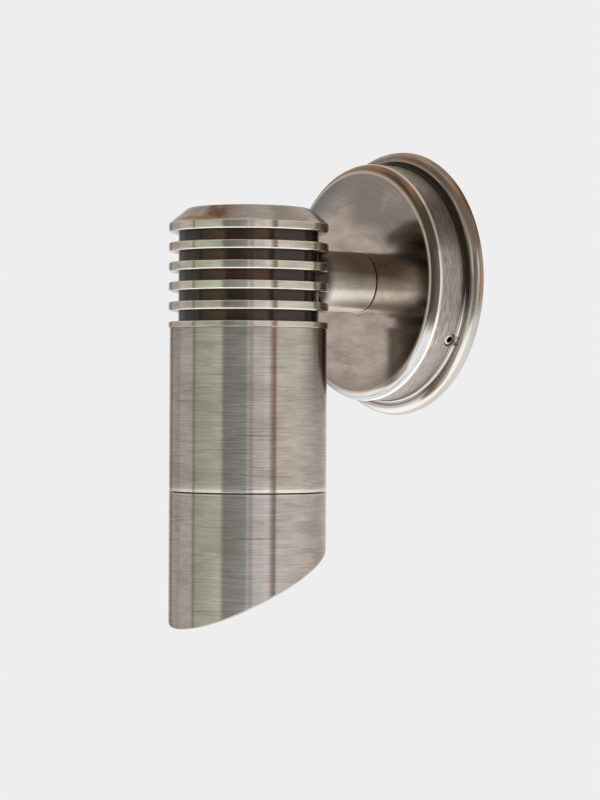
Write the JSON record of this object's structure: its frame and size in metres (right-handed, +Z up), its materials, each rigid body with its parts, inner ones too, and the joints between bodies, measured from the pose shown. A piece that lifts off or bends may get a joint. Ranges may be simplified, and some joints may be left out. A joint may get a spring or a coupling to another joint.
{
  "type": "outdoor wall light",
  "caption": "Round brushed-metal wall light: finned head on a straight arm, turned stepped canopy, slant-cut glare hood that turns and pulls off.",
  "frame": {"origin": "centre of the wall plate's back face, on the wall, midway between the two screw slots", "axes": "+Z up; the light stands out from the wall along -Y, so +Y points into the wall; +X is to the right when looking at the wall along +Y"},
  "size_m": [0.1058, 0.1057, 0.1876],
  "materials": {
    "aged_metal": "brushed, darkened and rubbed back",
    "dark_metal": "turned, darkened",
    "plain_brass": "turned",
    "zinc_steel": "zinc plated",
    "rubber": "matt",
    "white_moulding": "smooth",
    "lamp_lens": "frosted",
    "clear_glass": "polished",
    "lead_sheath": "smooth",
    "lead_cores": "smooth"
  },
  "bodies": {
    "wall_part": {"mounting_plate": "zinc_steel", "cable_grommet": "rubber", "terminal_block": "white_moulding", "terminal_screws": "zinc_steel", "block_screws": "zinc_steel", "earth_terminal": "plain_brass", "wall_gasket": "rubber", "canopy": "aged_metal", "canopy_grub_screws": "dark_metal", "nipple_washer": "zinc_steel", "nipple_nut": "plain_brass", "nipple": "plain_brass", "arm": "aged_metal", "inner_lead": "lead_sheath", "block_leads": "lead_cores", "holder_leads": "lead_cores", "finned_top": "aged_metal", "top_seal": "rubber", "body_tube": "aged_metal", "holder_bracket": "zinc_steel", "bracket_screws": "zinc_steel", "holder_screws": "zinc_steel", "lampholder": "white_moulding"},
    "lamp": {"lamp_body": "white_moulding", "lamp_pins": "zinc_steel", "lamp_front": "lamp_lens"},
    "lens_unit": {"lens_carrier": "dark_metal", "carrier_seals": "rubber", "lens_gasket": "rubber", "lens_glass": "clear_glass", "lens_ring": "plain_brass"},
    "hood": {"hood": "aged_metal"}
  },
  "joints": [
    {"name": "lamp_twist", "type": "hinge", "parent": "wall_part", "child": "lamp", "pos_m": [0, -0.0747, -0.05], "axis": [0, 0, -1], "range_deg": [0, 25]},
    {"name": "lens_unit_pull", "type": "slide", "parent": "wall_part", "child": "lens_unit", "axis": [0, 0, -1], "range_m": [0, 0.01]},
    {"name": "hood_turn", "type": "hinge", "parent": "lens_unit", "child": "hood", "pos_m": [0, -0.0747, -0.1], "axis": [0, 0, 1], "continuous": true}
  ]
}
